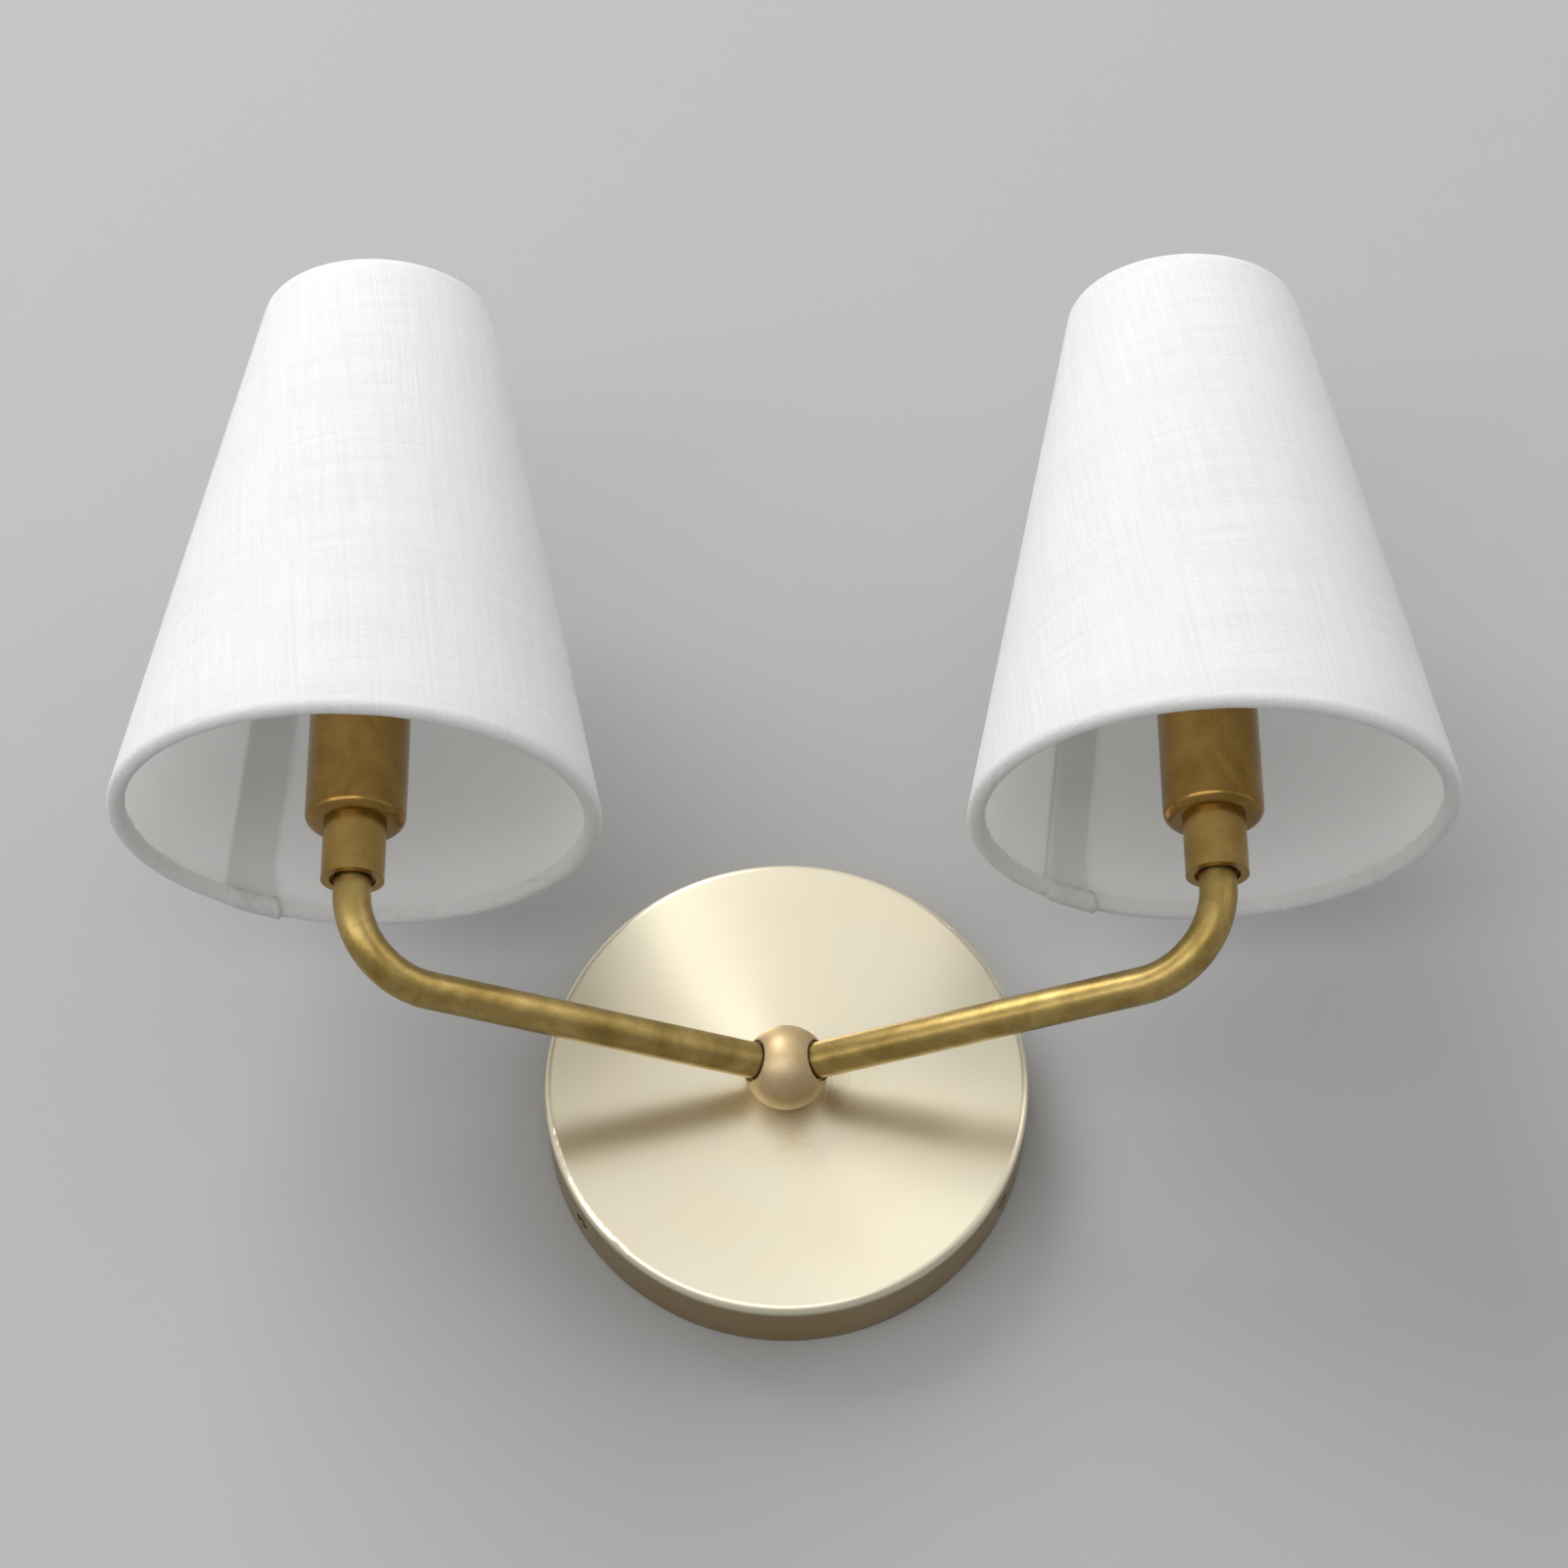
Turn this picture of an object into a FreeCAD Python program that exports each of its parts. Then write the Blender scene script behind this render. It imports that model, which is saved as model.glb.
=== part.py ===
import FreeCAD, Part
import math
import os
import re

import Sketcher
from FreeCAD import Placement, Rotation, Vector

# Double arm wall sconce: a round brass canopy, a ball hub, two bent tube arms, and on each arm
# a neck, a socket cup, a candle bulb and a linen cone shade that grips the bulb with a wire clip.
# Origin: middle of the canopy on the wall. +X right, -Y out of the wall, +Z up. Millimetres.

document = FreeCAD.newDocument("DoubleArmSconce")

# ---------------------------------------------------------------------------
# Driving dimensions
# ---------------------------------------------------------------------------

SIZES = {
    # canopy, the round dish on the wall
    "canopy_dia": 127.0,
    "canopy_depth": 22.0,
    "canopy_wall": 1.0,
    "canopy_edge": 2.0,
    # three set screws in its rim
    "screw_dia": 4.0,
    "screw_long": 8.0,
    "screw_key": 2.0,
    "screw_key_deep": 3.0,
    "screw_sunk": 0.3,
    "screw_from_wall": 10.5,
    "screw_hole_dia": 4.9,
    "screw_turn": 2.5,
    # mounting plate on the wall box
    "plate_dia": 112.0,
    "plate_thick": 1.6,
    "plate_hole_dia": 36.0,
    "slot_spacing": 79.4,
    "slot_long": 24.0,
    "slot_wide": 5.0,
    "ear_wide": 14.0,
    "ear_high": 16.0,
    "ear_bend": 2.6,
    "ear_gap": 0.5,
    "ground_dia": 4.0,
    "ground_head_dia": 8.0,
    "ground_head_high": 2.4,
    "ground_across": 24.0,
    "ground_down": 30.0,
    # threaded nipples, nut and washer
    "nipple_dia": 10.29,
    "nipple_bore": 6.4,
    "thread_clear": 0.05,
    "hole_clear": 0.2,
    "washer_dia": 15.5,
    "washer_thick": 0.8,
    "washer_split": 1.2,
    "nut_flats": 14.3,
    "nut_thick": 4.0,
    "nipple_spare": 1.5,
    # ball hub
    "ball_dia": 22.0,
    "ball_from_wall": 31.4,
    "nipple_from_middle": 5.0,
    "arm_seat": 6.0,
    "ball_recess_dia": 11.0,
    "ball_recess_deep": 1.1,
    # bent arms
    "arm_dia": 9.525,
    "arm_wall": 1.0,
    "arm_forward": 30.0,
    "arm_reach": 124.0,
    "arm_bend": 22.0,
    # neck coupling
    "neck_dia": 15.875,
    "neck_bottom": 25.0,
    "neck_long": 15.0,
    "neck_mouth_dia": 11.6,
    "neck_mouth_deep": 1.6,
    "arm_in_neck": 8.0,
    # socket cup
    "cup_dia": 25.4,
    "cup_long": 44.0,
    "cup_wall": 1.0,
    "cup_edge": 3.0,
    # socket
    "hickey_dia": 14.0,
    "hickey_long": 9.0,
    "hickey_plate": 1.2,
    "hickey_wide": 6.0,
    "hickey_leg": 14.0,
    "nipple_over": 6.0,
    "socket_dia": 20.0,
    "socket_long": 30.0,
    "socket_floor": 6.0,
    "shell_step": 2.0,
    "shell_wall": 0.4,
    "shell_long": 21.0,
    "contact_wide": 4.0,
    "contact_long": 9.0,
    "contact_thick": 0.5,
    "contact_button": 4.0,
    # candle bulb
    "cap_dia": 11.7,
    "cap_wall": 0.4,
    "cap_long": 21.0,
    "bulb_clear": 0.1,
    "bulb_gap": 0.25,
    "tip_dia": 4.6,
    "tip_high": 1.2,
    "base_high": 3.0,
    "bulb_dia": 35.0,
    "bulb_belly": 30.0,
    "bulb_long": 73.0,
    "bulb_nose": 9.0,
    "bulb_nose_high": 5.0,
    "bulb_wall": 0.8,
    "bulb_neck_in": 9.0,
    "stem_dia": 6.0,
    "stem_long": 30.0,
    "filament_dia": 1.8,
    "filament_wire": 0.6,
    "filament_long": 32.0,
    "filament_circle": 9.0,
    # leads
    "lead_dia": 2.0,
    "lead_apart": 2.2,
    "lead_hub_bend": 8.0,
    "lead_back_bend": 6.0,
    "lead_out": 0.6,
    "lead_in_socket": 3.0,
    "lead_in_connector": 6.0,
    "connector_dia": 11.0,
    "connector_top_dia": 7.0,
    "connector_long": 22.0,
    "connector_mouth": 5.6,
    "connector_deep": 15.0,
    "connector_place": 13.0,
    # shade
    "shade_bottom_dia": 123.8,
    "shade_top_dia": 62.2,
    "shade_bottom": 40.4,
    "shade_high": 150.6,
    "linen_thick": 0.5,
    "liner_thick": 0.4,
    "ring_wire": 3.0,
    "hem_tuck": 1.0,
    "clip_wire": 2.0,
    "clip_leg_wire": 1.8,
    "clip_low": 22.0,
    "clip_high": 42.0,
    "clip_hug": 50.0,
    "clip_corner": 4.0,
    "clip_clear": 0.3,
    "clip_leg_drop": 8.0,
    "clip_leg_bend": 12.0,
}

sizes = document.addObject("Spreadsheet::Sheet", "sizes")
for row, (alias, number) in enumerate(SIZES.items(), 1):
    sizes.set(f"A{row}", alias)
    sizes.set(f"B{row}", str(number))
    sizes.setAlias(f"B{row}", alias)
document.recompute()


# ---------------------------------------------------------------------------
# Ways of making a piece
# ---------------------------------------------------------------------------


def cells(formula):
    """The formula with each driving dimension written as its cell of the sheet."""
    return re.sub(r"[a-z_]+", lambda word: f"sizes.{word[0]}" if word[0] in SIZES else word[0], formula)


def value(formula):
    """The number that the formula gives now."""
    return float(sizes.evalExpression(cells(formula)))


def bind(thing, **formulas):
    """Bind properties to formulas of the sheet; a double underscore stands for a dot."""
    for name, formula in formulas.items():
        thing.setExpression(name.replace("__", "."), cells(formula))


def new_body(label):
    body = document.addObject("PartDesign::Body", label)
    body.Label = label
    return body


def plane_of(body, role):
    return next(feature for feature in body.Origin.OriginFeatures if feature.Role == role)


def coordinate(sketch, kind, element, point, formula):
    """Fix one coordinate of a point: on the axis where it is 0, else at the formula's value."""
    if formula == "0":
        axis = -2 if kind == "DistanceX" else -1
        sketch.addConstraint(Sketcher.Constraint("PointOnObject", element, point, axis))
        return
    index = sketch.addConstraint(Sketcher.Constraint(kind, -1, 1, element, point, value(formula)))
    sketch.setExpression(f"Constraints[{index}]", cells(formula))


def outline(body, name, steps, role="XZ_Plane", closed=True):
    """A sketch of straight sides and arcs.

    A step (x, y) draws a straight side to that point; (x, y, centre x, centre y, turn) draws an
    arc to it, anticlockwise where turn is 1 and clockwise where it is -1. The last step ends
    where the first side starts; an open outline starts with its first step instead.
    """
    sketch = body.newObject("Sketcher::SketchObject", name)
    sketch.AttachmentSupport = [(plane_of(body, role), "")]
    sketch.MapMode = "FlatFace"
    joints = []
    before = steps[-1] if closed else steps[0]
    for step in steps if closed else steps[1:]:
        start = Vector(value(before[0]), value(before[1]))
        end = Vector(value(step[0]), value(step[1]))
        if len(step) == 2:
            element = sketch.addGeometry(Part.LineSegment(start, end))
            first, last = 1, 2
            coordinate(sketch, "DistanceX", element, last, step[0])
            coordinate(sketch, "DistanceY", element, last, step[1])
        else:
            centre = Vector(value(step[2]), value(step[3]))
            first, last = (1, 2) if step[4] > 0 else (2, 1)
            low, high = (start, end) if step[4] > 0 else (end, start)
            circle = Part.Circle(centre, Vector(0, 0, 1), (end - centre).Length)
            angles = [math.atan2(p.y - centre.y, p.x - centre.x) for p in (low, high)]
            element = sketch.addGeometry(Part.ArcOfCircle(circle, *angles))
            coordinate(sketch, "DistanceX", element, 3, step[2])
            coordinate(sketch, "DistanceY", element, 3, step[3])
            sideways = abs(end.x - centre.x) > abs(end.y - centre.y)
            if sideways:
                coordinate(sketch, "DistanceY", element, last, step[1])
            else:
                coordinate(sketch, "DistanceX", element, last, step[0])
        joints.append((element, first, last))
        before = step
    for (element, _, last), (following, first, _) in zip(joints, joints[1:]):
        sketch.addConstraint(Sketcher.Constraint("Coincident", element, last, following, first))
    if closed:
        (element, _, last), (following, first, _) = joints[-1], joints[0]
        sketch.addConstraint(Sketcher.Constraint("Coincident", element, last, following, first))
    else:
        coordinate(sketch, "DistanceX", joints[0][0], joints[0][1], steps[0][0])
        coordinate(sketch, "DistanceY", joints[0][0], joints[0][1], steps[0][1])
    return sketch


def circles(body, name, middles, role="XY_Plane"):
    """A sketch of circles, each (x, y, radius)."""
    sketch = body.newObject("Sketcher::SketchObject", name)
    sketch.AttachmentSupport = [(plane_of(body, role), "")]
    sketch.MapMode = "FlatFace"
    for x, y, radius in middles:
        middle = Vector(value(x), value(y))
        element = sketch.addGeometry(Part.Circle(middle, Vector(0, 0, 1), value(radius)))
        coordinate(sketch, "DistanceX", element, 3, x)
        coordinate(sketch, "DistanceY", element, 3, y)
        index = sketch.addConstraint(Sketcher.Constraint("Radius", element, value(radius)))
        sketch.setExpression(f"Constraints[{index}]", cells(radius))
    return sketch


def lathe(label, steps):
    """A body turned about its own Z axis from an outline of (radius, height)."""
    body = new_body(label)
    sketch = outline(body, label + "_outline", steps)
    turned = body.newObject("PartDesign::Revolution", label + "_turned")
    turned.Profile = sketch
    turned.ReferenceAxis = (sketch, ["V_Axis"])
    turned.Angle = 360
    return body


def cut_through(body, sketch, name):
    """Cut the sketch out of the body on both sides of its plane."""
    pocket = body.newObject("PartDesign::Pocket", name)
    pocket.Profile = sketch
    pocket.Type = "ThroughAll"
    pocket.Midplane = True
    return pocket


def repeat_round(body, features, count, name):
    """Repeat features of the body round its own Z axis."""
    pattern = body.newObject("PartDesign::PolarPattern", name)
    pattern.Originals = features
    pattern.Axis = (plane_of(body, "Z_Axis"), [""])
    pattern.Angle = 360
    pattern.Occurrences = count
    body.Tip = pattern
    return pattern


def cylinder(name, radius, height, base=None):
    """An upright cylinder, its foot at the base where one is given."""
    thing = document.addObject("Part::Cylinder", name)
    bind(thing, Radius=radius, Height=height)
    if base:
        bind(thing, Placement__Base__x=base[0], Placement__Base__y=base[1])
        bind(thing, Placement__Base__z=base[2])
    return thing


def block(name, low, high):
    thing = document.addObject("Part::Box", name)
    bind(thing, Length=f"({high[0]}) - ({low[0]})", Width=f"({high[1]}) - ({low[1]})")
    bind(thing, Height=f"({high[2]}) - ({low[2]})")
    bind(thing, Placement__Base__x=low[0], Placement__Base__y=low[1], Placement__Base__z=low[2])
    return thing


def fused(name, things):
    thing = document.addObject("Part::MultiFuse", name)
    thing.Shapes = things
    return thing


def cut(name, base, tools):
    thing = document.addObject("Part::Cut", name)
    thing.Base = base
    thing.Tool = tools[0] if len(tools) == 1 else fused(name + "_tools", tools)
    return thing


def rounded_path(points, radii):
    """A wire along the points, each inner corner rounded with its own radius."""
    edges = []
    start = points[0]
    for before, corner, after, radius in zip(points, points[1:], points[2:], radii):
        back = (before - corner).normalize()
        ahead = (after - corner).normalize()
        half = back.getAngle(ahead) / 2
        reach = radius / math.tan(half)
        middle = corner + (back + ahead).normalize() * (radius / math.sin(half) - radius)
        enter, leave = corner + back * reach, corner + ahead * reach
        edges.append(Part.LineSegment(start, enter).toShape())
        edges.append(Part.Arc(enter, middle, leave).toShape())
        start = leave
    edges.append(Part.LineSegment(start, points[-1]).toShape())
    return Part.Wire(edges)


def tube_along(wire, diameter):
    """A round solid swept along the wire, with its volume compared with section times length."""
    start = wire.Edges[0].valueAt(wire.Edges[0].FirstParameter)
    ahead = wire.Edges[0].tangentAt(wire.Edges[0].FirstParameter)
    section = Part.Wire([Part.Circle(start, ahead, diameter / 2).toShape()])
    solid = wire.makePipeShell([section], True, False)
    expected = math.pi * diameter**2 / 4 * wire.Length
    if abs(solid.Volume - expected) > 0.01 * expected:
        raise ValueError(f"swept volume {solid.Volume:.1f} is not {expected:.1f}")
    return solid


parts = []


def placed(thing, label, where=Vector(), turn=Rotation()):
    """Name a finished piece and put it in its place."""
    thing.Label = label
    thing.Placement = Placement(where, turn).multiply(thing.Placement)
    parts.append(thing)
    return thing


# A piece turned about its own Z axis faces out of the wall with its Z along -Y.
OUT_OF_WALL = Rotation(Vector(1, 0, 0), 90)

# ---------------------------------------------------------------------------
# Canopy and what fastens it
# ---------------------------------------------------------------------------

# Canopy: spun brass dish with a rounded front edge, a middle hole and three holes in its rim.
rim = "canopy_dia / 2"
canopy = lathe(
    "canopy",
    [
        (rim, "0"),
        (rim, "canopy_depth - canopy_edge"),
        (f"{rim} - canopy_edge", "canopy_depth", f"{rim} - canopy_edge", "canopy_depth - canopy_edge", 1),
        ("nipple_dia / 2 + hole_clear", "canopy_depth"),
        ("nipple_dia / 2 + hole_clear", "canopy_depth - canopy_wall"),
        (f"{rim} - canopy_edge", "canopy_depth - canopy_wall"),
        (f"{rim} - canopy_wall", "canopy_depth - canopy_edge",
         f"{rim} - canopy_edge", "canopy_depth - canopy_edge", -1),
        (f"{rim} - canopy_wall", "0"),
    ],
)
rim_hole = circles(canopy, "canopy_rim_hole", [("0", "screw_from_wall", "screw_hole_dia / 2")], "XZ_Plane")
rim_cut = canopy.newObject("PartDesign::Pocket", "canopy_rim_cut")
rim_cut.Profile = rim_hole
rim_cut.Type = "ThroughAll"
repeat_round(canopy, [rim_cut], 3, "canopy_rim_holes")
screw_ring = OUT_OF_WALL.multiply(Rotation(Vector(0, 0, 1), value("screw_turn")))
placed(canopy, "canopy", turn=screw_ring)

# Mounting plate: stamped steel disc that lies on the wall box, with two slots for the box's
# screws, a hole for the wires and three folded ears, each tapped for a canopy screw.
plate = new_body("mounting_plate")
disc = circles(plate, "plate_disc", [("0", "0", "plate_dia / 2"), ("0", "0", "plate_hole_dia / 2")])
sheet_metal = plate.newObject("PartDesign::Pad", "plate_pad")
sheet_metal.Profile = disc
bind(sheet_metal, Length="plate_thick")
ear_face = "canopy_dia / 2 - canopy_wall - ear_gap"
ear_root = "plate_dia / 2 - 2 * plate_thick"
ear_outline = outline(
    plate,
    "ear_outline",
    [
        (ear_root, "0"),
        (f"{ear_face} - ear_bend", "0"),
        (ear_face, "ear_bend", f"{ear_face} - ear_bend", "ear_bend", 1),
        (ear_face, "ear_high"),
        (f"{ear_face} - plate_thick", "ear_high"),
        (f"{ear_face} - plate_thick", "ear_bend"),
        (f"{ear_face} - ear_bend", "plate_thick", f"{ear_face} - ear_bend", "ear_bend", -1),
        (ear_root, "plate_thick"),
    ],
    "YZ_Plane",
)
ear = plate.newObject("PartDesign::Pad", "ear_pad")
ear.Profile = ear_outline
ear.Midplane = True
bind(ear, Length="ear_wide")
tapped = circles(plate, "ear_hole", [("0", "screw_from_wall", "screw_dia / 2 + thread_clear")], "XZ_Plane")
ear_cut = plate.newObject("PartDesign::Pocket", "ear_cut")
ear_cut.Profile = tapped
ear_cut.Type = "ThroughAll"
repeat_round(plate, [ear, ear_cut], 3, "plate_ears")
slot_half = "(slot_long - slot_wide) / 2"
slot_middle = "slot_spacing / 2"
slot_start = f"{slot_middle} - {slot_half}"
slot_end = f"{slot_middle} + {slot_half}"
slot_sketch = outline(
    plate,
    "slot_outline",
    [
        (slot_start, "-slot_wide / 2"),
        (slot_end, "-slot_wide / 2"),
        (slot_end, "slot_wide / 2", slot_end, "0", 1),
        (slot_start, "slot_wide / 2"),
        (slot_start, "-slot_wide / 2", slot_start, "0", 1),
    ][1:],
    "XY_Plane",
)
slot_sketch.AttachmentOffset = Placement(Vector(), Rotation(Vector(0, 0, 1), -value("screw_turn")))
slot = cut_through(plate, slot_sketch, "slot_cut")
repeat_round(plate, [slot], 2, "plate_slots")
ground_hole = circles(
    plate, "ground_hole", [("ground_across", "-ground_down", "ground_dia / 2 + thread_clear")]
)
cut_through(plate, ground_hole, "ground_cut")
placed(plate, "mounting_plate", turn=screw_ring)

# Canopy screws: three headless set screws in the ears, sunk just under the canopy's rim.
screw_start = f"{rim} - screw_sunk - screw_long"
screws = []
for spot in range(3):
    around = Rotation(Vector(0, 0, 1), 120 * spot + value("screw_turn"))
    into_rim = around.multiply(Rotation(Vector(1, 0, 0), -90))
    shank = cylinder(f"screw_shank_{spot}", "screw_dia / 2", "screw_long")
    key = document.addObject("Part::Prism", f"screw_key_{spot}")
    key.Polygon = 6
    bind(key, Circumradius="screw_key / sqrt(3)", Height="screw_key_deep + hole_clear")
    bind(key, Placement__Base__z="screw_long - screw_key_deep")
    screw = cut(f"screw_{spot}", shank, [key])
    middle = around.multVec(Vector(0, value(screw_start), 0)) + Vector(0, 0, value("screw_from_wall"))
    screw.Placement = Placement(middle, into_rim)
    screws.append(screw)
screw_set = document.addObject("Part::Compound", "canopy_screws")
screw_set.Links = screws
placed(screw_set, "canopy_screws", turn=OUT_OF_WALL)

# Ground screw: pan head screw in the plate, with a slot across its head.
ground_shank = cylinder("ground_shank", "ground_dia / 2", "plate_thick", ("0", "0", "-plate_thick"))
ground_head = cylinder("ground_head", "ground_head_dia / 2", "ground_head_high")
ground_slot = block(
    "ground_slot",
    ("-ground_head_dia", "-ground_dia / 8", "ground_head_high / 2"),
    ("ground_head_dia", "ground_dia / 8", "ground_head_high + hole_clear"),
)
ground = cut("ground_screw", fused("ground_blank", [ground_shank, ground_head]), [ground_slot])
ground_spot = screw_ring.multVec(
    Vector(value("ground_across"), -value("ground_down"), value("plate_thick"))
)
placed(ground, "ground_screw", ground_spot, OUT_OF_WALL)

# Canopy nipple: threaded tube that pulls the ball against the canopy's face.
nipple_front = "ball_from_wall - nipple_from_middle"
nipple_back = "canopy_depth - canopy_wall - washer_thick - nut_thick - nipple_spare"
nipple = lathe(
    "canopy_nipple",
    [
        ("nipple_bore / 2", nipple_back),
        ("nipple_dia / 2", nipple_back),
        ("nipple_dia / 2", nipple_front),
        ("nipple_bore / 2", nipple_front),
    ],
)
placed(nipple, "canopy_nipple", turn=OUT_OF_WALL)

# Split lock washer and hex nut on the nipple, against the canopy's inner face.
washer_ring = cylinder("washer_ring", "washer_dia / 2", "washer_thick")
washer_hole = cylinder("washer_hole", "nipple_dia / 2 + hole_clear", "washer_thick")
washer_cut = block(
    "washer_cut", ("0", "-washer_split / 2", "0"), ("washer_dia", "washer_split / 2", "washer_thick")
)
washer = cut("lock_washer", washer_ring, [washer_hole, washer_cut])
washer_from_wall = value("canopy_depth - canopy_wall - washer_thick")
placed(washer, "lock_washer", Vector(0, -washer_from_wall, 0), OUT_OF_WALL)
nut_hex = document.addObject("Part::Prism", "nut_hex")
nut_hex.Polygon = 6
bind(nut_hex, Circumradius="nut_flats / sqrt(3)", Height="nut_thick")
nut_bore = cylinder("nut_bore", "nipple_dia / 2 + thread_clear", "nut_thick")
nut = cut("nipple_nut", nut_hex, [nut_bore])
placed(nut, "nipple_nut", Vector(0, value("nut_thick") - washer_from_wall, 0), OUT_OF_WALL)

# ---------------------------------------------------------------------------
# Ball hub
# ---------------------------------------------------------------------------

# Ball hub: turned brass ball with a flat on the canopy and three bored holes that meet inside.
ball_seat = "(ball_from_wall - canopy_depth)"
ball_blank = lathe(
    "hub_ball_blank",
    [
        (f"sqrt(ball_dia ^ 2 / 4 - {ball_seat} ^ 2)", "canopy_depth"),
        ("0", "ball_from_wall + ball_dia / 2", "0", "ball_from_wall", 1),
        ("0", "canopy_depth"),
    ],
)
tube_way = "arm_dia / 2 - arm_wall"
ball_blank.Placement = Placement(Vector(), Rotation(Vector(0, 0, 1), 90))
holes = [
    cylinder("ball_nipple_hole", "nipple_dia / 2 + thread_clear", f"{ball_seat} - nipple_from_middle",
             ("0", "0", "canopy_depth")),
    cylinder("ball_wire_way", "nipple_bore / 2", f"{ball_seat}", ("0", "0", "canopy_depth")),
]
core = document.addObject("Part::Sphere", "ball_core")
bind(core, Radius=f"({tube_way}) / sqrt(3 / 4) + hole_clear", Placement__Base__z="ball_from_wall")
holes.append(core)
for side in (-1, 1):
    ahead = Vector(side * math.cos(math.radians(value("arm_forward"))), 0,
                   math.sin(math.radians(value("arm_forward"))))
    facing = Rotation(Vector(0, 0, 1), ahead)
    for name, radius, start, end in (
        ("seat", "arm_dia / 2 + thread_clear", "arm_seat", "ball_dia / 2"),
        ("way", tube_way, "0", "ball_dia / 2"),
        ("recess", "ball_recess_dia / 2",
         "sqrt(ball_dia ^ 2 / 4 - ball_recess_dia ^ 2 / 4) - ball_recess_deep", "ball_dia / 2"),
    ):
        hole = cylinder(f"ball_{name}_{side + 1}", radius, f"({end}) - ({start})")
        hole.Placement = Placement(
            Vector(0, 0, value("ball_from_wall")) + ahead * value(start), facing
        )
        holes.append(hole)
ball = cut("hub_ball", ball_blank, holes)
placed(ball, "hub_ball", turn=OUT_OF_WALL)

# ---------------------------------------------------------------------------
# The two sides, each an arm with its socket, bulb and shade
# ---------------------------------------------------------------------------

# Heights are counted from the middle of the ball, which is also the arms' height.
neck_top = "neck_bottom + neck_long"
cup_floor = f"{neck_top} + cup_wall"
cup_top = f"{neck_top} + cup_long"
socket_bottom = f"{cup_floor} + hickey_long"
socket_top = f"{socket_bottom} + socket_long"
socket_floor = f"{socket_bottom} + socket_floor"
shell_out = "cap_dia / 2 + bulb_clear + shell_wall"
shell_bottom = f"{socket_floor} + shell_step"
button_top = f"{socket_floor} + 2 * contact_thick"
tip_bottom = f"{button_top} + bulb_gap"
base_bottom = f"{tip_bottom} + tip_high"
cap_bottom = f"{base_bottom} + base_high"
cap_top = f"{cap_bottom} + cap_long"
belly = f"{cap_top} + bulb_belly"
hem = "(linen_thick + liner_thick / 2 + ring_wire / 2 + thread_clear)"
shade_low = f"shade_bottom + {hem}"
shade_top = "shade_bottom + shade_high"
shade_up = f"{shade_top} - {hem}"
ring_in = "(linen_thick + liner_thick + thread_clear + ring_wire / 2)"


def side_place(side):
    """Where the socket axis crosses the arm's plane."""
    forward = math.radians(value("arm_forward"))
    reach = value("arm_reach")
    return Vector(side * reach * math.cos(forward), -value("ball_from_wall") - reach * math.sin(forward), 0)


def side_turn(side):
    """The turn that carries +X to the arm's direction."""
    angle = -value("arm_forward") if side > 0 else 180 + value("arm_forward")
    return Rotation(Vector(0, 0, 1), angle)


def arm(side, name):
    """Brass tube bent up through a right angle, its ends threaded into the ball and the neck."""
    body = new_body(f"{name}_arm")
    spine = outline(
        body,
        f"{name}_arm_spine",
        [
            ("arm_seat", "0"),
            ("arm_reach - arm_bend", "0"),
            ("arm_reach", "arm_bend", "arm_reach - arm_bend", "arm_bend", 1),
            ("arm_reach", "neck_bottom + arm_in_neck"),
        ],
        closed=False,
    )
    section = circles(
        body, f"{name}_arm_section", [("0", "0", "arm_dia / 2"), ("0", "0", tube_way)], "YZ_Plane"
    )
    section.AttachmentOffset = Placement(Vector(0, 0, value("arm_seat")), Rotation())
    bind(section, AttachmentOffset__Base__z="arm_seat")
    pipe = body.newObject("PartDesign::AdditivePipe", f"{name}_arm_pipe")
    pipe.Profile = section
    pipe.Spine = spine
    placed(body, f"{name}_arm", Vector(0, -value("ball_from_wall"), 0), side_turn(side))


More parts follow.
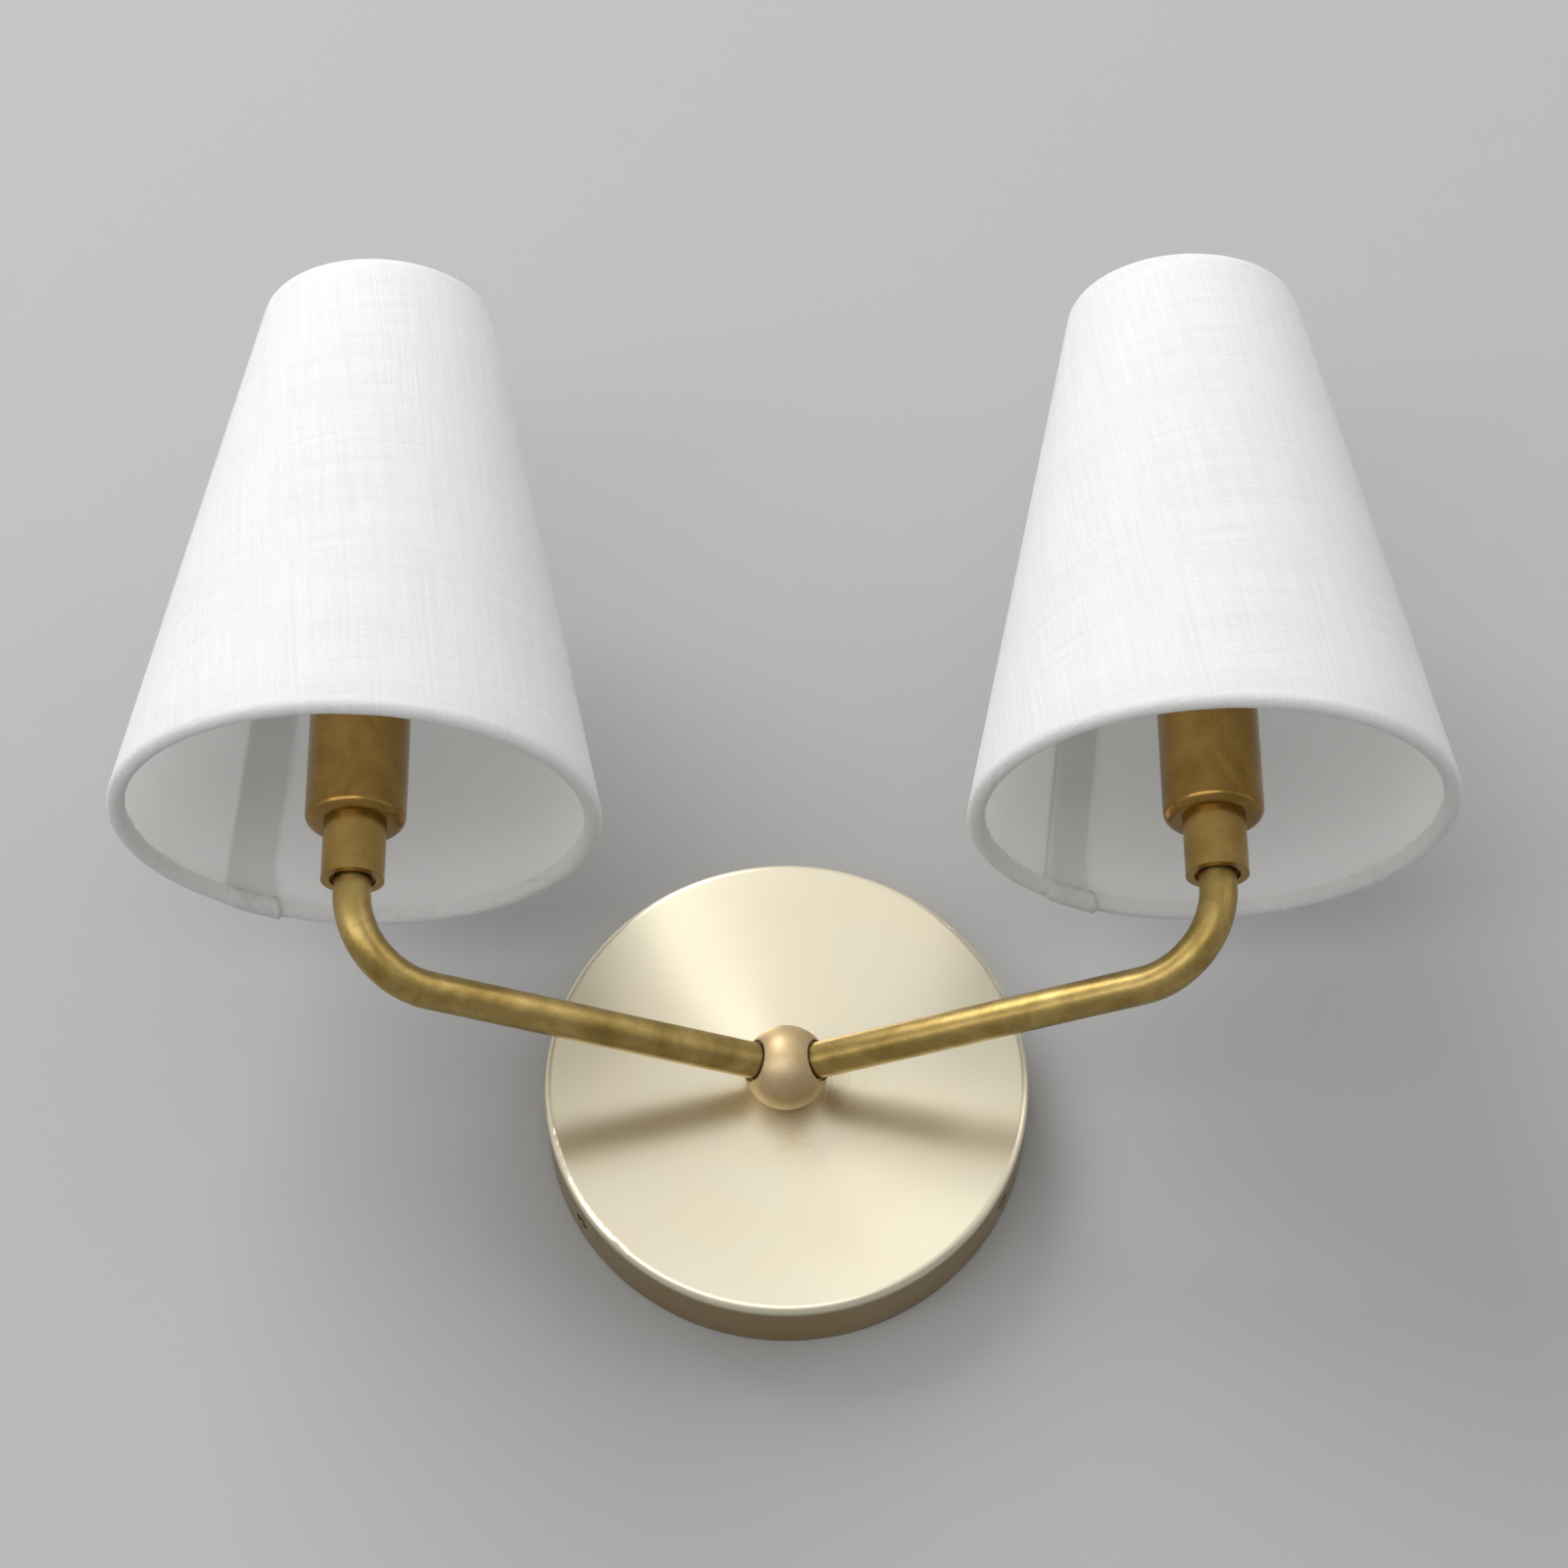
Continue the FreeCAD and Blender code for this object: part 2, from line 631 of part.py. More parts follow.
def socket_stack(side, name):
    """Neck, nipple, cup, hickey and lampholder, one above the other on the socket axis."""
    where, turn = side_place(side), side_turn(side)
    nipple_foot = "neck_bottom + arm_in_neck"
    neck = lathe(
        f"{name}_neck",
        [
            ("neck_dia / 2", "neck_bottom"),
            ("neck_dia / 2", neck_top),
            ("nipple_dia / 2 + thread_clear", neck_top),
            ("nipple_dia / 2 + thread_clear", nipple_foot),
            ("arm_dia / 2 + thread_clear", nipple_foot),
            ("arm_dia / 2 + thread_clear", "neck_bottom + neck_mouth_deep"),
            ("neck_mouth_dia / 2", "neck_bottom + neck_mouth_deep"),
            ("neck_mouth_dia / 2", "neck_bottom"),
        ],
    )
    placed(neck, f"{name}_neck", where, turn)
    stem = lathe(
        f"{name}_socket_nipple",
        [
            ("nipple_bore / 2", nipple_foot),
            ("nipple_dia / 2", nipple_foot),
            ("nipple_dia / 2", f"{cup_floor} + nipple_over"),
            ("nipple_bore / 2", f"{cup_floor} + nipple_over"),
        ],
    )
    placed(stem, f"{name}_socket_nipple", where, turn)
    cup_out = "cup_dia / 2"
    cup = lathe(
        f"{name}_socket_cup",
        [
            (f"{cup_out} - cup_edge", neck_top),
            (cup_out, f"{neck_top} + cup_edge", f"{cup_out} - cup_edge", f"{neck_top} + cup_edge", 1),
            (cup_out, cup_top),
            (f"{cup_out} - cup_wall", cup_top),
            (f"{cup_out} - cup_wall", f"{neck_top} + cup_edge"),
            (f"{cup_out} - cup_edge", cup_floor, f"{cup_out} - cup_edge", f"{neck_top} + cup_edge", -1),
            ("nipple_dia / 2 + hole_clear", cup_floor),
            ("nipple_dia / 2 + hole_clear", neck_top),
        ],
    )
    placed(cup, f"{name}_socket_cup", where, turn)

    # Hickey: threaded steel collar with a folded strap that is riveted to the lampholder.
    collar = cylinder(f"{name}_collar", "hickey_dia / 2", "hickey_long", ("0", "0", cup_floor))
    leg_face = "socket_dia / 2 + thread_clear"
    base = block(
        f"{name}_strap_base",
        ("-hickey_wide / 2", "0", f"{socket_bottom} - hickey_plate"),
        ("hickey_wide / 2", f"{leg_face} + hickey_plate", socket_bottom),
    )
    leg = block(
        f"{name}_strap_leg",
        ("-hickey_wide / 2", leg_face, f"{socket_bottom} - hickey_plate"),
        ("hickey_wide / 2", f"{leg_face} + hickey_plate", f"{socket_bottom} + hickey_leg"),
    )
    bore = cylinder(f"{name}_collar_bore", "nipple_dia / 2 + thread_clear", "hickey_long",
                    ("0", "0", cup_floor))
    hickey = cut(f"{name}_hickey", fused(f"{name}_hickey_blank", [collar, base, leg]), [bore])
    placed(hickey, f"{name}_hickey", where, turn)

    # Lampholder: moulded insulator, brass screw shell and the contact strip on its floor.
    blank = lathe(
        f"{name}_insulator_blank",
        [
            ("socket_dia / 2", socket_bottom),
            ("socket_dia / 2", socket_top),
            (f"{shell_out} + thread_clear", socket_top),
            (f"{shell_out} + thread_clear", shell_bottom),
            (f"{shell_out} - 2 * shell_wall", shell_bottom),
            (f"{shell_out} - 2 * shell_wall", socket_floor),
            ("0", socket_floor),
            ("0", socket_bottom),
        ],
    )
    wire_holes = [
        cylinder(f"{name}_wire_hole_{end + 1}", "lead_dia / 2 + thread_clear", "lead_in_socket",
                 (f"{end} * lead_apart / 2", "0", socket_bottom))
        for end in (-1, 1)
    ]
    placed(cut(f"{name}_socket_insulator", blank, wire_holes), f"{name}_socket_insulator", where, turn)
    shell = lathe(
        f"{name}_socket_shell",
        [
            (shell_out, shell_bottom),
            (shell_out, f"{shell_bottom} + shell_long"),
            (f"{shell_out} - shell_wall", f"{shell_bottom} + shell_long"),
            (f"{shell_out} - shell_wall", shell_bottom),
        ],
    )
    placed(shell, f"{name}_socket_shell", where, turn)
    strip = block(
        f"{name}_contact_strip",
        ("-contact_wide / 2", "-contact_long / 2", socket_floor),
        ("contact_wide / 2", "contact_long / 2", f"{socket_floor} + contact_thick"),
    )
    button = cylinder(f"{name}_contact_button", "contact_button / 2", "contact_thick",
                      ("0", "0", f"{socket_floor} + contact_thick"))
    placed(fused(f"{name}_socket_contact", [strip, button]), f"{name}_socket_contact", where, turn)


def bulb(side, name):
    """Candle bulb: screw cap with its insulator and tip, blown glass, stem and filaments."""
    where, turn = side_place(side), side_turn(side)
    cap_out = "cap_dia / 2"
    cap_in = f"{cap_out} - cap_wall"
    cap = lathe(
        f"{name}_bulb_cap",
        [(cap_in, cap_bottom), (cap_out, cap_bottom), (cap_out, cap_top), (cap_in, cap_top)],
    )
    placed(cap, f"{name}_bulb_cap", where, turn)
    insulator = lathe(
        f"{name}_bulb_insulator",
        [
            ("0", base_bottom),
            ("tip_dia / 2", base_bottom),
            (cap_in, cap_bottom),
            (cap_in, f"{cap_bottom} + base_high"),
            ("0", f"{cap_bottom} + base_high"),
        ],
    )
    placed(insulator, f"{name}_bulb_insulator", where, turn)
    tip = lathe(
        f"{name}_bulb_tip",
        [("0", tip_bottom), ("tip_dia / 4", tip_bottom), ("tip_dia / 2", base_bottom), ("0", base_bottom)],
    )
    placed(tip, f"{name}_bulb_tip", where, turn)

    # Glass: a flame outline of two large arcs that meet at the belly, closed by a small nose.
    glass_out = "bulb_dia / 2"
    neck_out = f"({cap_in} - thread_clear)"
    glass_top = f"{cap_top} + bulb_long"
    nose = "(bulb_nose / 2)"
    nose_foot = f"({glass_top} - bulb_nose_high)"
    flare = f"({glass_out} - {neck_out})"
    low_arc = f"(({flare} ^ 2 + bulb_belly ^ 2) / (2 * {flare}))"
    rise = f"({nose_foot} - ({belly}))"
    draw_in = f"({glass_out} - {nose})"
    high_arc = f"(({draw_in} ^ 2 + {rise} ^ 2) / (2 * {draw_in}))"
    tip_arc = f"(({nose} ^ 2 + bulb_nose_high ^ 2) / (2 * bulb_nose_high))"
    wall = "bulb_wall"
    low_in = f"{glass_out} - {low_arc} + sqrt(({low_arc} - {wall}) ^ 2 - bulb_belly ^ 2)"
    high_in = f"{glass_out} - {high_arc} + sqrt(({high_arc} - {wall}) ^ 2 - {rise} ^ 2)"
    glass = lathe(
        f"{name}_bulb_glass",
        [
            (neck_out, f"{cap_top} - bulb_neck_in"),
            (neck_out, cap_top),
            (glass_out, belly, f"{glass_out} - {low_arc}", belly, 1),
            (nose, nose_foot, f"{glass_out} - {high_arc}", belly, 1),
            ("0", glass_top, "0", f"{glass_top} - {tip_arc}", 1),
            ("0", nose_foot),
            (high_in, nose_foot),
            (f"{glass_out} - {wall}", belly, f"{glass_out} - {high_arc}", belly, -1),
            (low_in, cap_top, f"{glass_out} - {low_arc}", belly, -1),
            (low_in, f"{cap_top} - bulb_neck_in"),
        ],
    )
    placed(glass, f"{name}_bulb_glass", where, turn)

    # Glass stem flared into the neck, and four upright filaments held by crossed wires.
    stem_foot = f"({cap_top} - bulb_neck_in)"
    stem_top = f"({stem_foot} + stem_long)"
    stem = lathe(
        f"{name}_bulb_stem",
        [
            ("0", stem_foot),
            (low_in, stem_foot),
            (low_in, f"{stem_foot} + bulb_wall"),
            ("stem_dia / 2", f"{stem_foot} + stem_dia"),
            ("stem_dia / 2", stem_top),
            ("0", stem_top),
        ],
    )
    placed(stem, f"{name}_bulb_stem", where, turn)
    wire = "filament_wire / 2"
    wires = [cylinder(f"{name}_mast", f"1.5 * {wire}", "filament_long", ("0", "0", stem_top))]
    for spot in range(4):
        outward = Rotation(Vector(0, 0, 1), 90 * spot)
        middle = outward.multVec(Vector(value("filament_circle") / 2, 0, 0))
        foot = Vector(0, 0, value(f"{stem_top} + filament_wire"))
        for end, height in (("foot", 0), ("head", value("filament_long - 2 * filament_wire"))):
            spoke = document.addObject("Part::Cylinder", f"{name}_{end}_spoke_{spot}")
            bind(spoke, Radius=wire, Height="filament_circle / 2")
            sideways = Rotation(Vector(0, 0, 1), outward.multVec(Vector(1, 0, 0)))
            spoke.Placement = Placement(foot + Vector(0, 0, height), sideways)
            wires.append(spoke)
        rod = document.addObject("Part::Cylinder", f"{name}_filament_{spot}")
        bind(rod, Radius="filament_dia / 2", Height="filament_long")
        rod.Placement = Placement(middle + Vector(0, 0, value(stem_top)), Rotation())
        wires.append(rod)
    placed(fused(f"{name}_bulb_filaments", wires), f"{name}_bulb_filaments", where, turn)


def leads(side, name):
    """Two leads that run from the lampholder down the arm and through the ball to the canopy."""
    place, turn = side_place(side), side_turn(side)
    along = turn.multVec(Vector(1, 0, 0))
    ball_middle = Vector(0, -value("ball_from_wall"), 0)
    half = value("lead_apart") / 2
    across = half / math.cos(math.radians(value("arm_forward")))
    for role, up in (("hot", 1), ("neutral", -1)):
        rise = Vector(0, 0, up * half)
        socket_axis = place - along * (up * half)
        hub_corner = ball_middle + along * across + rise
        back = Vector(hub_corner.x, -value(nipple_back) + value("lead_out + lead_back_bend"), up * half)
        points = [
            socket_axis + Vector(0, 0, value(f"{socket_bottom} + lead_in_socket")),
            socket_axis + rise,
            hub_corner,
            back,
            Vector(back.x, back.y, up * value("connector_place + lead_in_connector")),
        ]
        radii = [value("arm_bend") - up * half, value("lead_hub_bend"), value("lead_back_bend")]
        lead = document.addObject("Part::Feature", f"{name}_lead_{role}")
        lead.Shape = tube_along(rounded_path(points, radii), value("lead_dia"))
        placed(lead, f"{name}_lead_{role}")


def clip_loop(facing):
    """One wire loop of the clip: two arcs round the bulb's belly joined by upright sides."""
    hug = value("bulb_dia / 2 + clip_clear + clip_wire / 2")
    low, high = value(f"{cap_top} + clip_low"), value(f"{cap_top} + clip_high")
    corner = value("clip_corner")
    up = Vector(0, 0, 1)

    def spot(angle, height):
        angle = math.radians(angle)
        return Vector(facing * hug * math.cos(angle), hug * math.sin(angle), height)

    def turned_corner(start, sideways, rise):
        """A quarter turn from the arc's end to the upright side."""
        shift = corner * math.sin(math.radians(45))
        return start + sideways * shift + rise * (corner - shift)

    edge = value("clip_hug")
    edges = []
    for height, way in ((low, 1), (high, -1)):
        ends = [spot(-way * edge, height), spot(way * edge, height)]
        edges.append(Part.Arc(ends[0], spot(0, height), ends[1]).toShape())
        along = Vector(0, 0, facing * way).cross(ends[1]).normalize()
        rise = up * way
        side_start = ends[1] + along * corner + rise * corner
        edges.append(Part.Arc(ends[1], turned_corner(ends[1], along, rise), side_start).toShape())
        side_end = ends[1] + along * corner + rise * (high - low - corner)
        edges.append(Part.LineSegment(side_start, side_end).toShape())
        last = ends[1] + rise * (high - low)
        edges.append(Part.Arc(side_end, turned_corner(last, along, -rise), last).toShape())
    return Part.Wire(Part.__sortEdges__(edges))


def shade(side, name):
    """Cone shade: linen rolled over two wire rings, its stiff liner, and the clip that holds it."""
    where = side_place(side)
    low_out, top_out = "shade_bottom_dia / 2", "shade_top_dia / 2"
    skin = "linen_thick"
    linen = lathe(
        f"{name}_shade_linen",
        [
            (top_out, shade_up),
            (f"{top_out} - 2 * {hem}", shade_up, f"{top_out} - {hem}", shade_up, 1),
            (f"{top_out} - 2 * {hem}", f"{shade_up} - hem_tuck"),
            (f"{top_out} - 2 * {hem} + {skin}", f"{shade_up} - hem_tuck"),
            (f"{top_out} - 2 * {hem} + {skin}", shade_up),
            (f"{top_out} - {skin}", shade_up, f"{top_out} - {hem}", shade_up, -1),
            (f"{low_out} - {skin}", shade_low),
            (f"{low_out} - 2 * {hem} + {skin}", shade_low, f"{low_out} - {hem}", shade_low, -1),
            (f"{low_out} - 2 * {hem} + {skin}", f"{shade_low} + hem_tuck"),
            (f"{low_out} - 2 * {hem}", f"{shade_low} + hem_tuck"),
            (f"{low_out} - 2 * {hem}", shade_low),
            (low_out, shade_low, f"{low_out} - {hem}", shade_low, 1),
        ],
    )
    placed(linen, f"{name}_shade_linen", where)
    liner = lathe(
        f"{name}_shade_liner",
        [
            (f"{low_out} - {skin} - liner_thick", shade_low),
            (f"{low_out} - {skin}", shade_low),
            (f"{top_out} - {skin}", shade_up),
            (f"{top_out} - {skin} - liner_thick", shade_up),
        ],
    )
    placed(liner, f"{name}_shade_liner", where)
    bottom_ring = document.addObject("Part::Torus", f"{name}_bottom_ring")
    bind(bottom_ring, Radius1=f"{low_out} - {ring_in}", Radius2="ring_wire / 2")
    bind(bottom_ring, Placement__Base__z=shade_low)
    placed(bottom_ring, f"{name}_shade_bottom_ring", where)

    # Top ring with the bulb clip welded to it: a loop on each side of the bulb, each on a leg.
    ring_radius = value(f"{top_out} - {ring_in}")
    wire = value("clip_wire")
    frame = Part.makeTorus(ring_radius, value("ring_wire / 2"), Vector(0, 0, value(shade_up)))
    hug = value("bulb_dia / 2 + clip_clear") + wire / 2
    high = value(f"{cap_top} + clip_high")
    drop = value("clip_leg_drop")
    pieces = []
    for facing in (-1, 1):
        pieces.append(tube_along(clip_loop(facing), wire))
        leg = [
            Vector(facing * hug, 0, high),
            Vector(facing * hug, 0, high + drop),
            Vector(facing * ring_radius, 0, value(shade_up) - drop),
            Vector(facing * ring_radius, 0, value(shade_up)),
        ]
        bend = value("clip_leg_bend")
        pieces.append(tube_along(rounded_path(leg, [bend, bend]), value("clip_leg_wire")))
    clip = document.addObject("Part::Feature", f"{name}_shade_clip")
    clip.Shape = frame.fuse(pieces)
    placed(clip, f"{name}_shade_clip", where)


for side, name in ((-1, "left"), (1, "right")):
    arm(side, name)
    socket_stack(side, name)
    bulb(side, name)
    leads(side, name)
    shade(side, name)

# Wire connectors: moulded caps twisted on the leads where they meet the house wires.
connector_from_wall = value(f"{nipple_back} - lead_out - lead_back_bend")
for role, up in (("hot", 1), ("neutral", -1)):
    connector = lathe(
        f"connector_{role}",
        [
            ("connector_mouth / 2", "connector_place"),
            ("connector_dia / 2", "connector_place"),
            ("connector_top_dia / 2", "connector_place + connector_long"),
            ("0", "connector_place + connector_long"),
            ("0", "connector_place + connector_deep"),
            ("connector_mouth / 2", "connector_place + connector_deep"),
        ],
    )
    half_turn = Rotation(Vector(0, 1, 0), 0 if up > 0 else 180)
    placed(connector, f"connector_{role}", Vector(0, -connector_from_wall, 0), half_turn)

# ---------------------------------------------------------------------------
# Check every object and write one file for each piece
# ---------------------------------------------------------------------------

document.recompute()
for thing in document.Objects:
    if {"Invalid", "Error"} & set(thing.State):
        raise ValueError(f"{thing.Label} failed: {thing.State}")
os.makedirs("parts", exist_ok=True)
for piece in parts:
    shape = piece.Shape
    if shape.isNull() or not shape.isValid() or not shape.Solids:
        raise ValueError(f"{piece.Label} has no valid solid")
    shape.exportStep(f"parts/{piece.Label}.step")
print(f"{len(parts)} pieces written")
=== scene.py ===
import bmesh
import bpy
import math
from mathutils import Matrix, Vector


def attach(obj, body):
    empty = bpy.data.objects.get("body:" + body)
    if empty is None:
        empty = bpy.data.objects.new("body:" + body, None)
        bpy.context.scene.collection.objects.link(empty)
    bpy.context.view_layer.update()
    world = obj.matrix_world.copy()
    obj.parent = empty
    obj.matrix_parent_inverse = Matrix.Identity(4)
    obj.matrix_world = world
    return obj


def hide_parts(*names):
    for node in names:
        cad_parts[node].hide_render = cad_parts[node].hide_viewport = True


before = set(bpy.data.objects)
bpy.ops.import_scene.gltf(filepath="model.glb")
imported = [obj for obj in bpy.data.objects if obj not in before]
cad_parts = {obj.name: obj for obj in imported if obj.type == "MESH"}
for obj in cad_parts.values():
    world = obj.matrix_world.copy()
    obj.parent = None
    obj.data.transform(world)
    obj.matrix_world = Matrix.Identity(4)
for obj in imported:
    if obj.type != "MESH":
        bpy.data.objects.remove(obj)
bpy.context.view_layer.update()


# Camera: looks up at the sconce through a long lens, from 38 cm below the canopy's middle and
# 95 cm out from the wall. Its place was fitted to the outlines of the canopy, arms and shades.
camera_place = Vector((-0.0001, -0.9481, -0.3823))
camera_pitch, camera_roll = math.radians(26.89), math.radians(-0.37)
ahead = Vector((0, math.cos(camera_pitch), math.sin(camera_pitch)))
level = Vector((1, 0, 0))
over = level.cross(ahead)
sideways = level * math.cos(camera_roll) + over * math.sin(camera_roll)
upward = over * math.cos(camera_roll) - level * math.sin(camera_roll)
camera = bpy.data.objects.new("camera", bpy.data.cameras.new("camera"))
camera.data.sensor_width = 36
camera.data.lens = 87.55
camera.data.clip_start, camera.data.clip_end = 0.05, 20
camera.matrix_world = Matrix.Translation(camera_place) @ Matrix(
    (sideways, upward, -ahead)
).transposed().to_4x4()
bpy.context.scene.collection.objects.link(camera)
bpy.context.scene.camera = camera


# Wall and floor: plain painted board. The wall is open from behind and in a circle inside the
# canopy, so that the canopy's back can be seen, and the floor lies well below the sconce.
def linked(name, mesh):
    """A mesh as an object in the scene."""
    made = bpy.data.objects.new(name, mesh)
    bpy.context.scene.collection.objects.link(made)
    return made


def mesh_of(name, shape, smooth=True):
    """A finished mesh from a bmesh, which is freed."""
    mesh = bpy.data.meshes.new(name)
    shape.to_mesh(mesh)
    shape.free()
    for face in mesh.polygons:
        face.use_smooth = smooth
    return mesh


def feed(tree, node, feeds):
    """Links or sets inputs of a node, each from another node's socket or from a value."""
    for name, fed in feeds.items():
        if isinstance(fed, bpy.types.NodeSocket):
            tree.links.new(fed, node.inputs[name])
        else:
            node.inputs[name].default_value = fed


def step(tree, kind, feeds=None, **settings):
    """A shader node with its settings, and its inputs linked or set."""
    made = tree.nodes.new(kind)
    for name, setting in settings.items():
        setattr(made, name, setting)
    feed(tree, made, feeds or {})
    return made


def calculated(tree, operation, *values):
    """The result of a Math node on one or two values."""
    return step(tree, "ShaderNodeMath", dict(enumerate(values)), operation=operation).outputs[0]


def vector_step(tree, operation, one, other):
    """The vector that a Vector Math node makes of two vectors."""
    return step(tree, "ShaderNodeVectorMath", {0: one, 1: other}, operation=operation).outputs[0]


def noise(tree, place, scale, detail, **more):
    """The value of a noise pattern."""
    feeds = {"Vector": place, "Scale": scale, "Detail": detail, **more}
    return step(tree, "ShaderNodeTexNoise", feeds).outputs["Fac"]


def bumped(tree, shader, height, strength, distance):
    """Tilts the shader's normal by a height that changes over the surface."""
    feeds = {"Height": height, "Strength": strength, "Distance": distance}
    bump = step(tree, "ShaderNodeBump", feeds)
    feed(tree, shader, {"Normal": bump.outputs["Normal"]})


def new_finish(name):
    """A new material with its Principled shader."""
    made = bpy.data.materials.new(name)
    made.use_nodes = True
    return made, made.node_tree, made.node_tree.nodes["Principled BSDF"]


def object_place(tree):
    """The Object coordinates, which are metres in the part's own frame."""
    return step(tree, "ShaderNodeTexCoord").outputs["Object"]


def off_axis(tree, place):
    """The way out from the canopy's axis, and the distance from it."""
    outward = vector_step(tree, "MULTIPLY", place, (1, 0, 1))
    length = step(tree, "ShaderNodeVectorMath", {0: outward}, operation="LENGTH")
    return outward, length.outputs["Value"]


opening_radius = 0.058
board, tree, shader = new_finish("painted_board")
place = object_place(tree)
bumped(tree, shader, noise(tree, place, 420.0, 3.0), 0.10, 0.0004)
feed(tree, shader, {"Base Color": (0.34, 0.34, 0.34, 1), "Roughness": 0.75})
clear = step(tree, "ShaderNodeBsdfTransparent").outputs[0]
behind = step(tree, "ShaderNodeNewGeometry").outputs["Backfacing"]
from_axis = off_axis(tree, place)[1]
in_canopy = calculated(tree, "LESS_THAN", from_axis, opening_radius)
opening = calculated(tree, "MAXIMUM", behind, in_canopy)
open_back = step(tree, "ShaderNodeMixShader", {0: opening, 1: shader.outputs[0], 2: clear})
feed(tree, tree.nodes["Material Output"], {"Surface": open_back.outputs[0]})

board_half, floor_height, wall_gap = 3.0, -1.4, 0.0006
wall_place = Matrix.Translation((0, wall_gap, floor_height + board_half))
upright = Matrix.Rotation(math.radians(90), 4, "X")
floor_place = Matrix.Translation((0, 0, floor_height))
for name, board_place in (("wall", wall_place @ upright), ("floor", floor_place)):
    shape = bmesh.new()
    bmesh.ops.create_grid(shape, x_segments=1, y_segments=1, size=board_half, matrix=board_place)
    piece = linked(name, mesh_of(name, shape, smooth=False))
    piece.data.materials.append(board)


# Studio light: a wide soft lamp high on the left, a weaker one on the right, a faint one in
# front, a long low one under the arms, and a surround that gets dark toward the floor.
def soft_lamp(name, place, aim, power, wide, high=None):
    """A round area lamp, or with a height an oblong one that lies level."""
    data = bpy.data.lights.new(name, "AREA")
    data.energy, data.size, data.size_y = power, wide, high or wide
    data.shape = "RECTANGLE" if high else "DISK"
    lamp = bpy.data.objects.new(name, data)
    lamp.location = place
    lamp.rotation_mode = "QUATERNION"
    lamp.rotation_quaternion = (Vector(aim) - Vector(place)).to_track_quat("-Z", "Y")
    bpy.context.scene.collection.objects.link(lamp)


def stretched(tree, value, low, high, new_low=0.0, new_high=1.0):
    """A value stretched from one range to another, and held inside it."""
    feeds = {0: value, 1: low, 2: high, 3: new_low, 4: new_high}
    return step(tree, "ShaderNodeMapRange", feeds).outputs[0]


soft_lamp("key_lamp", (-1.3, -1.65, 2.15), (0, -0.05, 0.05), power=74, wide=2.1)
soft_lamp("fill_lamp", (1.9, -1.6, 1.3), (0, -0.05, 0.05), power=10, wide=2.0)
soft_lamp("front_lamp", (-0.2, -2.3, 1.0), (0, -0.02, 0.0), power=1.8, wide=2.3)
soft_lamp("low_lamp", (-0.9, -2.15, -0.55), (0, -0.02, 0.05), power=17, wide=3.2, high=0.75)
surround = bpy.data.worlds.new("surround")
surround.use_nodes = True
sky = surround.node_tree
looked_at = step(sky, "ShaderNodeTexCoord").outputs["Generated"]
rise = step(sky, "ShaderNodeSeparateXYZ", {0: looked_at}).outputs["Z"]
above_floor = stretched(sky, rise, -0.55, -0.25, 0.12, 0.74)
above_level = stretched(sky, rise, -0.25, 0.9, 0.0, 0.10)
brightness = calculated(sky, "ADD", above_floor, above_level)
feed(sky, sky.nodes["Background"], {"Color": (1, 1, 1, 1), "Strength": brightness})
bpy.context.scene.world = surround
bpy.context.scene.view_settings.view_transform = "Standard"


# Canopy: spun brass dish, buffed on a wheel, which left faint rings round the ball, mostly below
# it and on its right. The brass is bare, so it has cloudy patches. Its side carries painted
# shade: a darker brass colour where the rim falls into shade.
def mixed(tree, share, low, high):
    """A colour between two, each one three numbers or a socket."""
    mix = step(tree, "ShaderNodeMix", {0: share}, data_type="RGBA")
    for spot, colour in ((6, low), (7, high)):
        is_socket = isinstance(colour, bpy.types.NodeSocket)
        feed(tree, mix, {spot: colour if is_socket else (*colour, 1)})
    return mix.outputs[2]


canopy_brass, tree, shader = new_finish("canopy_brass")
place = object_place(tree)
outward, from_middle = off_axis(tree, place)
rings_per_metre = 1300.0
ring_count = calculated(tree, "MULTIPLY", from_middle, rings_per_metre)
rings = step(tree, "ShaderNodeTexNoise", {
    "W": ring_count, "Scale": 1.0, "Detail": 3.0, "Roughness": 0.7,
}, noise_dimensions="1D").outputs["Fac"]
ball_edge, rings_end = 0.016, 0.032
down_right = step(tree, "ShaderNodeVectorMath", {0: place, 1: (0.6, 0, -0.8)}, operation="DOT_PRODUCT")
wheel_side = stretched(tree, down_right.outputs["Value"], -0.012, 0.010, 0.15, 1.0)
arcs = stretched(tree, noise(tree, place, 45.0, 3.0), 0.32, 0.54, 0.0, wheel_side)
near_ball = stretched(tree, from_middle, ball_edge, rings_end, 1.0, 0.10)
shown = calculated(tree, "MULTIPLY", arcs, near_ball)
ring_cut = calculated(tree, "MULTIPLY", rings, shown)
bumped(tree, shader, ring_cut, 0.16, 0.0002)
cloud = noise(tree, place, 26.0, 1.5, Distortion=0.4)
clouds = stretched(tree, cloud, 0.25, 0.75)
tint = mixed(tree, clouds, (0.80, 0.712, 0.53), (0.785, 0.745, 0.58))
buffed = stretched(tree, ring_cut, 0.24, 0.58, 0.0, 0.95)
marked = mixed(tree, buffed, tint, (0.70, 0.58, 0.34))
# painted shade: the side wall, from the rounded edge back to the wall, is coloured a darker brass
round_edge, side_edge = -0.0205, -0.0185
depth = step(tree, "ShaderNodeSeparateXYZ", {0: place}).outputs["Y"]
side_shade = stretched(tree, depth, round_edge, side_edge)
feed(tree, shader, {
    "Base Color": mixed(tree, side_shade, marked, (0.40, 0.285, 0.115)),
    "Roughness": stretched(tree, clouds, 0.0, 1.0, 0.27, 0.33),
    "Metallic": 1.0, "Anisotropic": 0.7, "Tangent": outward,
})


def dress(finish, *names):
    """The finish goes in every material slot of these CAD nodes."""
    for name in names:
        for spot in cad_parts[name].material_slots:
            spot.material = finish


dress(canopy_brass, "canopy")


